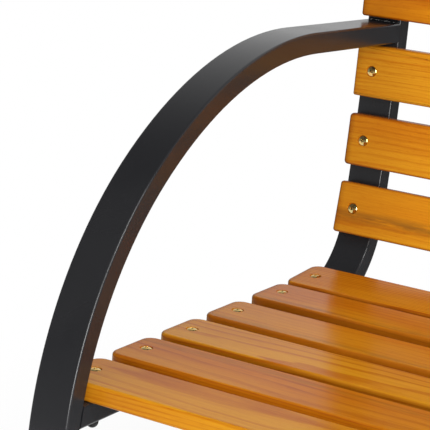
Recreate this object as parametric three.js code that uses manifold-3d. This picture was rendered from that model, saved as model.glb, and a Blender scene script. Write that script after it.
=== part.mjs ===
// Rocking bench for two: side frames of bent rectangular steel tube on rockers, with softwood slats.
// Millimetres, +Z up. The bench faces -Y, left is -X as seen from the front, and the origin is on the
// floor, midway between the rockers and under their lowest point.

import * as THREE from "three";
import { mergeVertices } from "three/addons/utils/BufferGeometryUtils.js";
import Module from "manifold-3d";

const wasm = await Module();
wasm.setup();

// Whole bench
const benchWidth = 1161; // over the side frames
const seatHeight = 425; // floor to the top of the front slat
const seatSetback = 306; // front slat's middle to the rockers' lowest point
const fitGap = 0.3; // between pieces that touch
const overrun = 40; // how far a hole cutter or an overlong tube end runs past the cut
const cutReach = 120; // how far past its tube a cutter clears a tube that ends there

// Side frame tube
const tubeWidth = 39;
const tubeDepth = 21;
const tubeWall = 1.5;
const tubeCorner = 3;

// Seat rail and back upright: one tube, given by the face that the slats lie on
const seatTilt = THREE.MathUtils.degToRad(7.2);
const seatRun = 397; // front slat's middle to the bend
const seatBendRadius = 81.5;
const lowerRecline = THREE.MathUtils.degToRad(15.5);
const upperRecline = THREE.MathUtils.degToRad(9.1);
const backBendRadius = 1750;
const uprightOverhang = 8; // above the top back slat

// Arm and front leg: one tube, given by its outer face
const legLead = 77; // front slat's middle to the foremost point of the leg
const armRadius = 397.5;
const armShoulderTurn = THREE.MathUtils.degToRad(42.1);
const shoulderRadius = 332.8;
const legRadius = 460;

// Rockers and rear legs
const rockerRadius = 900;
const toeOverhang = 120; // rocker in front of where the front leg's outer face would meet the floor
const rockerFacets = 19; // odd, so that the bench stands on a flat
const rearLegSlatCount = 5; // seat slats in front of the rear leg, which stands under the next gap
const rearLegLean = THREE.MathUtils.degToRad(24);

// Slats
const slatThickness = 16.8;
const slatInset = 0.5; // how far a slat end stops short of the side frame's outer face
const slatEdge = 3; // rounding of the long edges
const slatCorner = 12;
const seatSlatWidth = 64.8;
const seatSlatGap = 13.6;
const seatGapShares = [1.02, 0.96, 0.98, 1.43, 0.62]; // the slats are set by eye
const seatBoltShares = [0.03, 0.02, -0.02, 0.03, 0.05, 0]; // bolt off the slat's middle, in widths
const backSlatWidth = 54.8;
const backSlatGap = 19.6;
const backSlatCorner = 4.5;
const backSlatCount = 6;
const backStart = 6.2; // end of the seat bend to the lowest back slat's middle
const armSlatCount = 3; // back slats below the arm
const armSlot = 29.7; // gap between the back slats where the arm meets the upright

// Slat bolts and their cap nuts
const headRadius = 5.6;
const headRim = 0.6;
const headRecess = 0.3;
const shankRadius = 3;
const holeClearance = 0.35;
const capNutRadius = 5.8;
const capNutCollar = 10;
const roundSides = 8;

// Cross tubes, which tie the side frames, and the middle support on the seat ones
const crossWidth = 30;
const crossDepth = 15;
const crossWall = 1.5;
const crossSlatCounts = [2, 4]; // seat slats in front of each seat cross tube
const lowCrossPlace = 215; // down the rear leg, from the seat rail's middle
const supportThickness = 5;
const supportInset = 6; // its ends stop short of the outer slats' edges
const screwHoleRadius = 2.5;

// Frame bolts, from the outer side of the frames into the cross tubes' end walls
const frameBoltRadius = 4;
const frameHeadRadius = 8;
const frameHeadHeight = 4;
const frameBoltGrip = 14; // how far a bolt reaches into the cross tube

// End caps
const capFlange = 2.5;
const capPlug = 12;

// Facets of the bends and of the round edges
const seatBendSteps = 10;
const backBendSteps = 3;
const armSteps = 7;
const shoulderSteps = 11;
const legSteps = 6;
const edgeSteps = 2;
const domeSteps = 3;

const steelBlack = { color: 0x1d1d1f, roughness: 0.45, metalness: 0.3 };
const varnishedWood = { color: 0xc47a2c, roughness: 0.3, metalness: 0 };
const yellowZinc = { color: 0xc8b56a, roughness: 0.3, metalness: 1 };
const blackPlastic = { color: 0x141414, roughness: 0.6, metalness: 0 };

const bench = new THREE.Group();
const frameX = (benchWidth - tubeWidth) / 2;
const sides = [
  ["left", -1],
  ["right", 1],
];

// A line in the YZ plane, made of straight runs and arcs that meet smoothly. A heading is the angle
// from +Y towards +Z, and a tube's section is placed by its offset to the left of the heading.
class BentLine extends THREE.Curve {
  constructor(y, z, heading) {
    super();
    this.tip = { y, z, heading };
    this.reach = 0;
    this.runs = [];
    this.stations = [0];
  }

  run(length, turn, steps) {
    this.runs.push({ ...this.tip, from: this.reach, length, curl: turn ? turn / length : 0 });
    for (let i = 1; i <= steps; i++) {
      this.stations.push(this.reach + (length * i) / steps);
    }
    this.reach += length;
    this.tip = this.at(this.reach);
    return this;
  }

  straight(length) {
    return this.run(length, 0, 1);
  }

  bend(radius, turn, steps) {
    return this.run(radius * Math.abs(turn), turn, steps);
  }

  at(distance, offset = 0) {
    const r = this.runs.findLast((run) => run.from <= distance) ?? this.runs[0];
    const s = distance - r.from;
    const heading = r.heading + r.curl * s;
    const arcY = (Math.sin(heading) - Math.sin(r.heading)) / r.curl;
    const arcZ = (Math.cos(r.heading) - Math.cos(heading)) / r.curl;
    const y = r.y + (r.curl ? arcY : s * Math.cos(heading)) - offset * Math.sin(heading);
    const z = r.z + (r.curl ? arcZ : s * Math.sin(heading)) + offset * Math.cos(heading);
    return { y, z, heading };
  }

  getPointAt(share) {
    const place = share * (this.stations.length - 1);
    const low = Math.floor(place);
    const high = Math.ceil(place);
    const { y, z } = this.at(THREE.MathUtils.lerp(this.stations[low], this.stations[high], place - low));
    return new THREE.Vector3(0, y, z);
  }

  getTangentAt(share) {
    const { heading } = this.at(this.stations[Math.round(share * (this.stations.length - 1))]);
    return new THREE.Vector3(0, Math.cos(heading), Math.sin(heading));
  }
}

// A rectangle with round corners, centred across, from low to high.
function roundedRectangle(width, low, high, radius) {
  const shape = new THREE.Shape();
  const side = width / 2 - radius;
  const quarter = Math.PI / 2;
  shape.absarc(side, low + radius, radius, -quarter, 0);
  shape.absarc(side, high - radius, radius, 0, quarter);
  shape.absarc(-side, high - radius, radius, quarter, 2 * quarter);
  shape.absarc(-side, low + radius, radius, 2 * quarter, 3 * quarter);
  return shape;
}

function plainRectangle(width, low, high) {
  const half = width / 2;
  return new THREE.Shape([
    new THREE.Vector2(-half, low),
    new THREE.Vector2(half, low),
    new THREE.Vector2(half, high),
    new THREE.Vector2(-half, high),
  ]);
}

function sweep(shape, line) {
  return new THREE.ExtrudeGeometry(shape, {
    steps: line.stations.length - 1,
    extrudePath: line,
    bevelEnabled: false,
    curveSegments: 1,
  });
}

// The frame's tube along a line, its outer faces at offsets low and low + tubeDepth.
function tubeAlong(line, low) {
  const shape = roundedRectangle(tubeWidth, low, low + tubeDepth, tubeCorner);
  shape.holes.push(plainRectangle(tubeWidth - 2 * tubeWall, low + tubeWall, low + tubeDepth - tubeWall));
  return solidOf(sweep(shape, line));
}

// What a tube along a line takes away from a tube that ends on it, with all that lies past it.
function cutterAlong(line, low, high) {
  return solidOf(sweep(plainRectangle(tubeWidth + 2 * overrun, low, high), line));
}

function extrude(shape, depth) {
  return new THREE.ExtrudeGeometry(shape, { depth, bevelEnabled: false, curveSegments: 1 });
}

// Turns a profile of radius and height pairs, lowest first, round Z.
function turned(profile, segments) {
  const points = profile.map(([radius, height]) => new THREE.Vector2(radius, height));
  return new THREE.LatheGeometry(points, segments).rotateX(Math.PI / 2);
}

function rod(radius, low, high) {
  return turned([[0, low], [radius, low], [radius, high], [0, high]], roundSides);
}

function solidOf(geometry) {
  const bare = geometry.clone();
  bare.deleteAttribute("normal");
  bare.deleteAttribute("uv");
  const merged = mergeVertices(bare);
  const vertProperties = merged.attributes.position.array;
  const triVerts = new Uint32Array(merged.index.array);
  return new wasm.Manifold(new wasm.Mesh({ numProp: 3, vertProperties, triVerts }));
}

function geometryOf(solid) {
  const { vertProperties, triVerts } = solid.getMesh();
  const geometry = new THREE.BufferGeometry();
  geometry.setAttribute("position", new THREE.BufferAttribute(vertProperties, 3));
  geometry.setIndex(new THREE.BufferAttribute(triVerts, 1));
  geometry.computeVertexNormals();
  return geometry;
}

function add(name, solid, finish, x, place = { y: 0, z: 0, heading: 0 }) {
  const mesh = new THREE.Mesh(geometryOf(solid), new THREE.MeshStandardMaterial(finish));
  mesh.name = name;
  mesh.position.set(x, place.y, place.z);
  mesh.rotation.x = place.heading;
  bench.add(mesh);
}

// Puts a geometry in a place on a line: its X stays, its Y follows the heading, its Z the offset.
function placed(geometry, { y, z, heading }) {
  return solidOf(geometry.rotateX(heading).translate(0, y, z));
}

// Seat rail and back upright
const slatTop = slatThickness + fitGap;
const seatAngle = -seatTilt;
const frontSlat = {
  y: -seatSetback - slatTop * Math.sin(seatTilt),
  z: seatHeight - slatTop * Math.cos(seatTilt),
};
const railLead = legLead + overrun; // in front of the front slat's middle
const seatBackLine = new BentLine(
  frontSlat.y - railLead * Math.cos(seatTilt),
  frontSlat.z + railLead * Math.sin(seatTilt),
  seatAngle,
)
  .straight(railLead + seatRun)
  .bend(seatBendRadius, Math.PI / 2 - lowerRecline + seatTilt, seatBendSteps);
const bendEnd = seatBackLine.reach;
seatBackLine.bend(backBendRadius, lowerRecline - upperRecline, backBendSteps);

const seatPlaces = [railLead];
for (const share of seatGapShares) {
  seatPlaces.push(seatPlaces.at(-1) + seatSlatWidth + seatSlatGap * share);
}
const backPlaces = [bendEnd + backStart];
for (let i = 1; i < backSlatCount; i++) {
  const gap = i === armSlatCount ? armSlot : backSlatGap;
  backPlaces.push(backPlaces.at(-1) + backSlatWidth + gap);
}
const armPlace = backPlaces[armSlatCount - 1] + (backSlatWidth + armSlot) / 2;
seatBackLine.straight(backPlaces.at(-1) + backSlatWidth / 2 + uprightOverhang - seatBackLine.reach);

// A slat lies with its two lower edges on the tube, so on a bend it spans the hollow. Its bolt holds
// it across that hollow, and depth is how far the tube's far side is from the slat's underside there.
function slatSeat(distance, width, boltOffset) {
  const front = seatBackLine.at(distance - width / 2);
  const rear = seatBackLine.at(distance + width / 2);
  const heading = Math.atan2(rear.z - front.z, rear.y - front.y);
  const y = (front.y + rear.y) / 2 - fitGap * Math.sin(heading);
  const z = (front.z + rear.z) / 2 + fitGap * Math.cos(heading);
  const bolt = { y: y + boltOffset * Math.cos(heading), z: z + boltOffset * Math.sin(heading), heading };
  const face = seatBackLine.at(distance + boltOffset);
  const hollow = (face.y - bolt.y) * Math.sin(heading) - (face.z - bolt.z) * Math.cos(heading);
  const nutTilt = capNutRadius * Math.abs(Math.tan(face.heading - heading));
  return { y, z, heading, boltOffset, bolt, depth: hollow + tubeDepth + nutTilt };
}

// The middle of the gap behind that many seat slats, at an offset from the slats' face.
function behindSlat(count, offset) {
  return seatBackLine.at((seatPlaces[count - 1] + seatPlaces[count]) / 2, offset);
}

const seatSeats = seatPlaces.map((distance, i) => {
  return slatSeat(distance, seatSlatWidth, seatSlatWidth * seatBoltShares[i]);
});
const backSeats = backPlaces.map((distance) => slatSeat(distance, backSlatWidth, 0));

// Arm and front leg: from the upright over the arm rest, past the seat and down to the rocker. The
// straight run at its back makes up what the bends leave of the way from the upright to the leg.
const armRoot = seatBackLine.at(armPlace + tubeDepth / 2, fitGap);
const armHeading = armRoot.heading + Math.PI / 2;
const armBends = armFrom(0);
const armStraight = (frontSlat.y - legLead - armBends.tip.y) / Math.cos(armHeading);
const armLine = armFrom(armStraight);
armLine.bend(legRadius, Math.asin(armLine.tip.z / legRadius), legSteps);

function armFrom(straightLength) {
  return new BentLine(armRoot.y, armRoot.z, armHeading)
    .straight(straightLength)
    .bend(armRadius, armShoulderTurn, armSteps)
    .bend(shoulderRadius, 1.5 * Math.PI - armHeading - armShoulderTurn, shoulderSteps);
}

// Rocker: an arc whose middle facet lies on the floor, as long behind the middle as in front of it.
const rockerReach = toeOverhang - armLine.tip.y;
const rockerHalfAngle = Math.asin(rockerReach / rockerRadius);
const facetRise = rockerRadius * (1 - Math.cos(rockerHalfAngle / rockerFacets));
const rockerLine = new BentLine(
  -rockerReach,
  rockerRadius * (1 - Math.cos(rockerHalfAngle)) - facetRise,
  -rockerHalfAngle,
).bend(rockerRadius, 2 * rockerHalfAngle, rockerFacets);

// Rear leg: straight, from the middle of the seat rail down to the rocker.
const rearLegTop = behindSlat(rearLegSlatCount, -tubeDepth / 2);
const rearLegLine = new BentLine(rearLegTop.y, rearLegTop.z, rearLegLean - Math.PI / 2);
rearLegLine.straight(rearLegTop.z / Math.cos(rearLegLean));

// Cross tubes: two under the middle support, one between the rear legs.
const crossDrop = supportThickness + fitGap + crossDepth / 2;
const seatCrosses = crossSlatCounts.map((count) => behindSlat(count, -crossDrop));
const lowCross = rearLegLine.at(lowCrossPlace);
const boltHole = frameBoltRadius + holeClearance;

function slatProfile(clearance, top, low) {
  const head = headRadius + clearance;
  const shank = shankRadius + clearance;
  const rim = slatThickness - headRecess - headRim;
  return [[0, low], [shank, low], [shank, rim - head + shank], [head, rim], [head, top], [0, top]];
}

function slat(width, corner, boltOffset) {
  const length = benchWidth - 2 * slatInset;
  const reach = width / 2 - slatEdge;
  const outline = roundedRectangle(length - 2 * slatEdge, -reach, reach, corner - slatEdge);
  const board = new THREE.ExtrudeGeometry(outline, {
    depth: slatThickness - 2 * slatEdge,
    bevelThickness: slatEdge,
    bevelSize: slatEdge,
    bevelSegments: edgeSteps,
    curveSegments: 1,
  }).translate(0, 0, slatEdge);
  let solid = solidOf(board);
  const profile = slatProfile(holeClearance, slatThickness + overrun, -overrun);
  for (const [, side] of sides) {
    const hole = turned(profile, roundSides).translate(side * frameX, boltOffset, 0);
    solid = solid.subtract(solidOf(hole));
  }
  return solid;
}

// A countersunk bolt with its cap nut, both on Z, which starts at the slat's underside.
function slatBolt(depth) {
  const nutTop = -depth - fitGap;
  const domeTop = nutTop - capNutCollar;
  const dome = [];
  for (let i = 0; i < domeSteps; i++) {
    const angle = (Math.PI / 2) * (i / domeSteps);
    dome.push([capNutRadius * Math.sin(angle), domeTop - capNutRadius * Math.cos(angle)]);
  }
  const [, ...upper] = slatProfile(0, slatThickness - headRecess, nutTop);
  return solidOf(turned([...dome, [capNutRadius, domeTop], [capNutRadius, nutTop], ...upper], roundSides));
}

function slatRow(kind, seats, width, corner) {
  seats.forEach((seat, i) => {
    add(`${kind}_slat_${i + 1}`, slat(width, corner, seat.boltOffset), varnishedWood, 0, seat);
    for (const [side, sign] of sides) {
      add(`${kind}_bolt_${i + 1}_${side}`, slatBolt(seat.depth), yellowZinc, sign * frameX, seat.bolt);
    }
  });
}

// A hole through a side frame tube, along X.
function drillAcross(solid, place) {
  const hole = rod(boltHole, -tubeWidth, tubeWidth).rotateY(Math.PI / 2).translate(0, place.y, place.z);
  return solid.subtract(solidOf(hole));
}

// The holes that the slats' bolts need in the tube, or their screws in the middle support.
function drilledForSlats(solid, radius) {
  let drilled = solid;
  for (const seat of [...seatSeats, ...backSeats]) {
    drilled = drilled.subtract(placed(rod(radius, -overrun, overrun), seat.bolt));
  }
  return drilled;
}

function seatBackFrame() {
  const armSide = cutterAlong(armLine, -cutReach, tubeDepth + fitGap);
  const tube = tubeAlong(seatBackLine, -tubeDepth).subtract(armSide);
  const drilled = drilledForSlats(tube, shankRadius + holeClearance);
  return seatCrosses.reduce(drillAcross, drilled);
}

function armLeg() {
  const rockerSide = cutterAlong(rockerLine, -cutReach, tubeDepth + fitGap);
  return tubeAlong(armLine, 0).subtract(rockerSide);
}

function rearLeg() {
  const rockerSide = cutterAlong(rockerLine, -cutReach, tubeDepth + fitGap);
  const railSide = cutterAlong(seatBackLine, -tubeDepth - fitGap, 0);
  const tube = tubeAlong(rearLegLine, -tubeDepth / 2);
  return drillAcross(tube.subtract(rockerSide).subtract(railSide), lowCross);
}

function middleSupport() {
  const from = railLead - seatSlatWidth / 2 + supportInset;
  const to = backPlaces.at(-1) + backSlatWidth / 2 - supportInset;
  const line = partOf(seatBackLine, from, to);
  const bar = solidOf(sweep(plainRectangle(tubeWidth, -supportThickness, 0), line));
  return drilledForSlats(bar, screwHoleRadius);
}

// The stretch of a line between two distances, with the same bends.
function partOf(line, from, to) {
  const { y, z, heading } = line.at(from);
  const part = new BentLine(y, z, heading);
  for (const run of line.runs) {
    const low = Math.max(from, run.from);
    const high = Math.min(to, run.from + run.length);
    const steps = line.stations.filter((s) => s > run.from && s <= run.from + run.length).length;
    if (high > low) part.run(high - low, run.curl * (high - low), steps);
  }
  return part;
}

// A cross tube along X with an end wall that its bolt goes through.
function crossTube() {
  const length = benchWidth - 2 * tubeWidth - 2 * fitGap;
  const half = crossWidth / 2;
  const outer = extrude(roundedRectangle(crossDepth, -half, half, tubeCorner), length);
  const hollowLength = length - 2 * crossWall;
  const hollowHalf = half - crossWall;
  const hollow = extrude(plainRectangle(crossDepth - 2 * crossWall, -hollowHalf, hollowHalf), hollowLength);
  const hole = rod(boltHole, -length, length);
  const tube = solidOf(outer.translate(0, 0, -length / 2).rotateY(Math.PI / 2));
  const inside = solidOf(hollow.translate(0, 0, -hollowLength / 2).rotateY(Math.PI / 2));
  return tube.subtract(inside).subtract(solidOf(hole.rotateY(Math.PI / 2)));
}

// A round-headed bolt along X, its head outside, at x = 0 on the frame's outer face.
function frameBolt(sign) {
  const tip = tubeWidth + fitGap + frameBoltGrip;
  const profile = [
    [0, -tip],
    [frameBoltRadius, -tip],
    [frameBoltRadius, fitGap],
    [frameHeadRadius, fitGap],
    [frameHeadRadius, fitGap + frameHeadHeight / 2],
    [frameHeadRadius / 2, fitGap + frameHeadHeight],
    [0, fitGap + frameHeadHeight],
  ];
  return solidOf(turned(profile, roundSides).rotateY((sign * Math.PI) / 2));
}

// A plug for an open tube end, which looks along Z. Its flange covers offsets low to low + tubeDepth.
function endCap(low) {
  const flange = extrude(roundedRectangle(tubeWidth, low, low + tubeDepth, tubeCorner), capFlange);
  const inset = tubeWall + fitGap;
  const section = plainRectangle(tubeWidth - 2 * inset, low + inset, low + tubeDepth - inset);
  const plug = extrude(section, capPlug + capFlange / 2);
  return solidOf(flange.translate(0, 0, fitGap)).add(solidOf(plug.translate(0, 0, -capPlug)));
}

// A place turned by a quarter turn, so that what looks along Z there looks out of the tube's end.
function quarterTurned(place, sign) {
  return { ...place, heading: place.heading + (sign * Math.PI) / 2 };
}

for (const [side, sign] of sides) {
  const x = sign * frameX;
  add(`arm_leg_${side}`, armLeg(), steelBlack, x);
  add(`seat_back_frame_${side}`, seatBackFrame(), steelBlack, x);
  add(`rear_leg_${side}`, rearLeg(), steelBlack, x);
  add(`rocker_${side}`, tubeAlong(rockerLine, 0), steelBlack, x);
  add(`upright_cap_${side}`, endCap(0), blackPlastic, x, quarterTurned(seatBackLine.tip, -1));
  add(`rocker_cap_rear_${side}`, endCap(-tubeDepth), blackPlastic, x, quarterTurned(rockerLine.tip, -1));
  add(`rocker_cap_front_${side}`, endCap(0), blackPlastic, x, quarterTurned(rockerLine.at(0), 1));
}

const crosses = [
  ["seat_front", seatCrosses[0]],
  ["seat_rear", seatCrosses[1]],
  ["rear_leg", lowCross],
];
for (const [name, place] of crosses) {
  add(`cross_tube_${name}`, crossTube(), steelBlack, 0, place);
  for (const [side, sign] of sides) {
    add(`frame_bolt_${name}_${side}`, frameBolt(sign), steelBlack, (sign * benchWidth) / 2, place);
  }
}

add("middle_support", middleSupport(), steelBlack, 0);
slatRow("seat", seatSeats, seatSlatWidth, slatCorner);
slatRow("back", backSeats, backSlatWidth, backSlatCorner);

export default bench;
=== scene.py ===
from math import asin, atan2, cos, pi, radians, sin

import bmesh
import bpy
from mathutils import Matrix, Vector, noise


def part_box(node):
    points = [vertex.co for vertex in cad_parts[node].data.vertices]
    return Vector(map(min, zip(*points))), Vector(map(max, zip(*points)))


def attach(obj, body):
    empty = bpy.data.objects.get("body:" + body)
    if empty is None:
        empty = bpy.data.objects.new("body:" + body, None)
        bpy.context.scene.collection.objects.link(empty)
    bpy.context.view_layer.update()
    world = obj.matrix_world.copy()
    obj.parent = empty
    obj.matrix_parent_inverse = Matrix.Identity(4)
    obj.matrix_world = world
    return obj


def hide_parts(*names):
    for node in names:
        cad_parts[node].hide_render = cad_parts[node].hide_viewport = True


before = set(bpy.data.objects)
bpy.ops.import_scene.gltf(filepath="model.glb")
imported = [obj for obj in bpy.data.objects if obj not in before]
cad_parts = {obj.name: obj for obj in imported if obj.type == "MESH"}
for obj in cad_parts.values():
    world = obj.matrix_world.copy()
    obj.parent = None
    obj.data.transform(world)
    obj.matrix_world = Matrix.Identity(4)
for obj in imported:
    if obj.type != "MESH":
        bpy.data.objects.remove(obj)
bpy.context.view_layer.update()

# Studio
# A packshot on white, taken from the front right of the bench's left end and from above. The lens
# is long, at the distance that the perspective of the arm and the slats gives.
PHOTO_PIXELS = 430
FOCAL_PIXELS = 1792
AXIS_PIXEL = 204.8  # the optical axis, from the left edge of the photograph
SENSOR_WIDTH = 36
CAMERA_PLACE = Vector((0.2721, -1.4269, 1.0803))
CAMERA_AZIMUTH = radians(32.72)
CAMERA_PITCH = radians(20.26)
CAMERA_REACH = 60
PAPER_SIZE = 6
PAPER_CENTRE = Vector((0, -0.8, 0))
PAPER_COLOUR = (0.94, 0.94, 0.94, 1)
PAPER_GLOW_SHARE = 0.88  # the rest is lit paper, which holds the bench's shadow
PAPER_FADE = (0.75, 1.35)  # from the middle of the floor, where the paper turns all white
PAPER_BACK_DIM = 0.86  # how much of its white the paper behind the bench loses to polished faces
PAPER_BACK_EDGES = (0.0, 0.3)
WHITE = (1, 1, 1, 1)
SKY_DIM = 0.28  # the world's light on the bench, behind and to its left
SKY_BRIGHT = 0.75  # and before it and to its right
SKY_EDGES = (-1.4, 1.4)
ROOM_STRENGTH = 0.11  # of what polished faces see of the room before the bench and past the paper
ROOM_EDGES = (0.05, 1.05)
ROOM_FLOOR_EDGES = (-0.14, 0.0)
ROOM_GLOW = 0.25
ROOM_GLOW_BACK_EDGES = (0.2, -0.4)
ROOM_GLOW_EDGES = (0.05, 0.5)
KEY_LAMP = (Vector((4.1, -4.1, 2.1)), (2.1, 3.6), 312)
WINDOW_LAMP = (Vector((4.0, -1.4, 4.3)), (1.9, 1.9), 126)
LAMP_AIM = Vector((0, 0, 0.45))


class Wire:
    """An output of a material's nodes. Arithmetic on wires adds the Math nodes that do it."""

    def __init__(self, nodework, socket):
        self.nodework = nodework
        self.socket = socket

    def math(self, operation, *values, **settings):
        inputs = {i: value for i, value in enumerate(values)}
        return self.nodework.node("ShaderNodeMath", {"operation": operation, **settings}, inputs)

    def __add__(self, other):
        return self.math("ADD", self, other)

    def __sub__(self, other):
        return self.math("SUBTRACT", self, other)

    def __mul__(self, other):
        return self.math("MULTIPLY", self, other)

    def __truediv__(self, other):
        return self.math("DIVIDE", self, other)

    def __pow__(self, other):
        return self.math("POWER", self, other)

    def __radd__(self, other):
        return self.math("ADD", other, self)

    def __rsub__(self, other):
        return self.math("SUBTRACT", other, self)

    def __rmul__(self, other):
        return self.math("MULTIPLY", other, self)

    def __abs__(self):
        return self.math("ABSOLUTE", self)

    def clamped(self):
        return self.math("ADD", self, 0, use_clamp=True)


class Nodework:
    """The nodes of one material or of the world."""

    def __init__(self, owner):
        owner.use_nodes = True
        self.tree = owner.node_tree
        self.tree.nodes.clear()

    def node(self, kind, settings=None, inputs=None, output=0):
        made = self.tree.nodes.new(kind)
        for name, value in (settings or {}).items():
            setattr(made, name, value)
        for name, value in (inputs or {}).items():
            if isinstance(value, Wire):
                self.tree.links.new(value.socket, made.inputs[name])
            else:
                made.inputs[name].default_value = value
        if not made.outputs:
            return None
        return Wire(self, made.outputs[output])

    def mixed(self, share, low, high):
        """A colour on the way from low to high."""
        settings = {"data_type": "RGBA", "clamp_factor": True}
        return self.node("ShaderNodeMix", settings, {0: share, 6: low, 7: high}, 2)

    def noise(self, place, scale, detail=2, roughness=0.5):
        inputs = {"Vector": place, "Scale": scale, "Detail": detail, "Roughness": roughness}
        return self.node("ShaderNodeTexNoise", {}, inputs)

    def smooth(self, value, low, high):
        """0 below low, 1 above high and a soft step between."""
        settings = {"interpolation_type": "SMOOTHSTEP"}
        inputs = {"Value": value, "From Min": low, "From Max": high}
        return self.node("ShaderNodeMapRange", settings, inputs)


def rays(nodework):
    """1 for what the camera or a glass sees, and 1 for what a polished face sees."""
    path = nodework.tree.nodes.new("ShaderNodeLightPath")
    kinds = ("Camera", "Glossy", "Transmission")
    camera, mirror, glass = (Wire(nodework, path.outputs[f"Is {kind} Ray"]) for kind in kinds)
    return (camera + glass).clamped(), mirror


def lamp(name, place, size, power):
    light = bpy.data.lights.new(name, "AREA")
    light.shape = "RECTANGLE"
    light.size, light.size_y = size
    light.energy = power
    made = bpy.data.objects.new(name, light)
    made.location = place
    made.rotation_euler = (LAMP_AIM - place).to_track_quat("-Z", "Y").to_euler()
    bpy.context.scene.collection.objects.link(made)


scene = bpy.context.scene
scene.view_settings.view_transform = "Standard"

camera = bpy.data.objects.new("camera", bpy.data.cameras.new("camera"))
camera.data.sensor_width = SENSOR_WIDTH
camera.data.lens = SENSOR_WIDTH * FOCAL_PIXELS / PHOTO_PIXELS
camera.data.shift_x = 0.5 - AXIS_PIXEL / PHOTO_PIXELS
camera.data.clip_end = CAMERA_REACH
camera.location = CAMERA_PLACE
camera.rotation_euler = (pi / 2 - CAMERA_PITCH, 0, CAMERA_AZIMUTH)
scene.collection.objects.link(camera)
scene.camera = camera

world = bpy.data.worlds.new("studio")
scene.world = world
sky = Nodework(world)
seen, mirrored = rays(sky)
way = sky.node("ShaderNodeTexCoord", {}, {}, "Generated")
right, back, up = (sky.node("ShaderNodeSeparateXYZ", {}, {0: way}, axis) for axis in range(3))
lit = sky.smooth(back, *ROOM_EDGES) * sky.smooth(up, *ROOM_FLOOR_EDGES)
in_front = sky.smooth(back, *ROOM_GLOW_BACK_EDGES)
low_down = 1 - sky.smooth(up, *ROOM_GLOW_EDGES)
glow = ROOM_STRENGTH + ROOM_GLOW * in_front * low_down
room = glow + (1 - glow) * lit
fill = SKY_DIM + (SKY_BRIGHT - SKY_DIM) * sky.smooth(right - back, *SKY_EDGES)
strength = seen + (1 - seen) * (mirrored * room + (1 - mirrored) * fill)
sky_light = sky.node("ShaderNodeBackground", {}, {"Color": WHITE, "Strength": strength})
sky.node("ShaderNodeOutputWorld", {}, {"Surface": sky_light})

lamp("key_lamp", *KEY_LAMP)
lamp("window_lamp", *WINDOW_LAMP)

floor_mesh = bmesh.new()
bmesh.ops.create_grid(floor_mesh, x_segments=1, y_segments=1, size=PAPER_SIZE / 2)
bmesh.ops.translate(floor_mesh, vec=PAPER_CENTRE, verts=floor_mesh.verts)
floor_data = bpy.data.meshes.new("floor")
floor_mesh.to_mesh(floor_data)
floor_mesh.free()
floor = bpy.data.objects.new("floor", floor_data)
scene.collection.objects.link(floor)
floor_paint = bpy.data.materials.new("white_paper")
floor_data.materials.append(floor_paint)
paper = Nodework(floor_paint)
paper_matt = paper.node("ShaderNodeBsdfDiffuse", {}, {"Color": PAPER_COLOUR})
paper_place = paper.node("ShaderNodeNewGeometry", {}, {}, "Position")
paper_reach = paper.node("ShaderNodeVectorMath", {"operation": "LENGTH"}, {0: paper_place}, "Value")
paper_rim = paper.smooth(paper_reach, *PAPER_FADE) * (1 - PAPER_GLOW_SHARE)
paper_back = paper.node("ShaderNodeSeparateXYZ", {}, {0: paper_place}, 1)
seen, mirrored = rays(paper)
dimmed = mirrored * paper.smooth(paper_back, *PAPER_BACK_EDGES)
glow_strength = 1 - dimmed * PAPER_BACK_DIM
paper_glow = paper.node("ShaderNodeEmission", {}, {"Color": WHITE, "Strength": glow_strength})
paper_share = ((seen + mirrored).clamped() * (PAPER_GLOW_SHARE + paper_rim) + dimmed).clamped()
paper_both = paper.node("ShaderNodeMixShader", {}, {0: paper_share, 1: paper_matt, 2: paper_glow})
paper.node("ShaderNodeOutputMaterial", {}, {"Surface": paper_both})

# Side frame tubes
# Four tubes of 39 by 21 mm steel to a side, welded together and powder coated black. Seat rail and
# upright are one bent tube, arm and front leg another, the rocker is a third and the rear leg is
# straight. The bender's roller leaves their faces flat and their corners small and round.
TUBE_WIDTH = 0.039
TUBE_DEPTH = 0.021
TUBE_CORNER = 0.0024
CORNER_STEPS = 5
BEND_STEP = radians(2)
SHARP_ANGLE = radians(35)
HALVINGS = 40
SAME_PLACE = 1e-9
TINY_LENGTH = 1e-6
WELD_GAP = 0.0002
OVERRUN = 0.04
SLAT_TOP = 0.0171  # above the tube's face
SEAT_HEIGHT = 0.425
SEAT_SETBACK = 0.306
SEAT_TILT = radians(7.2)
SEAT_RUN = 0.397
SEAT_BEND_RADIUS = 0.0815
LOWER_RECLINE = radians(15.5)
UPPER_RECLINE = radians(9.1)
BACK_BEND_RADIUS = 1.75
BACK_START = 0.0062
BACK_SLAT_WIDTH = 0.0548
BACK_SLAT_GAP = 0.0196
ARM_SLOT = 0.0297
SLATS_BELOW_ARM = 3
BACK_SLATS = 6
UPRIGHT_OVERHANG = 0.008
LEG_LEAD = 0.077
ARM_RADIUS = 0.3975
ARM_TURN = radians(42.1)
SHOULDER_RADIUS = 0.3328
LEG_RADIUS = 0.46
ROCKER_RADIUS = 0.9
TOE_OVERHANG = 0.12
REAR_LEG_SLATS = 5
REAR_LEG_LEAN = radians(24)
COAT_COLOUR = (0.0125, 0.0127, 0.0145, 1)
COAT_WORN_COLOUR = (0.019, 0.019, 0.0205, 1)


def across(place, offset=0):
    """The point at an offset to the left of a place's heading, in the YZ plane."""
    y, z, heading = place
    return Vector((y - offset * sin(heading), z + offset * cos(heading)))


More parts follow.
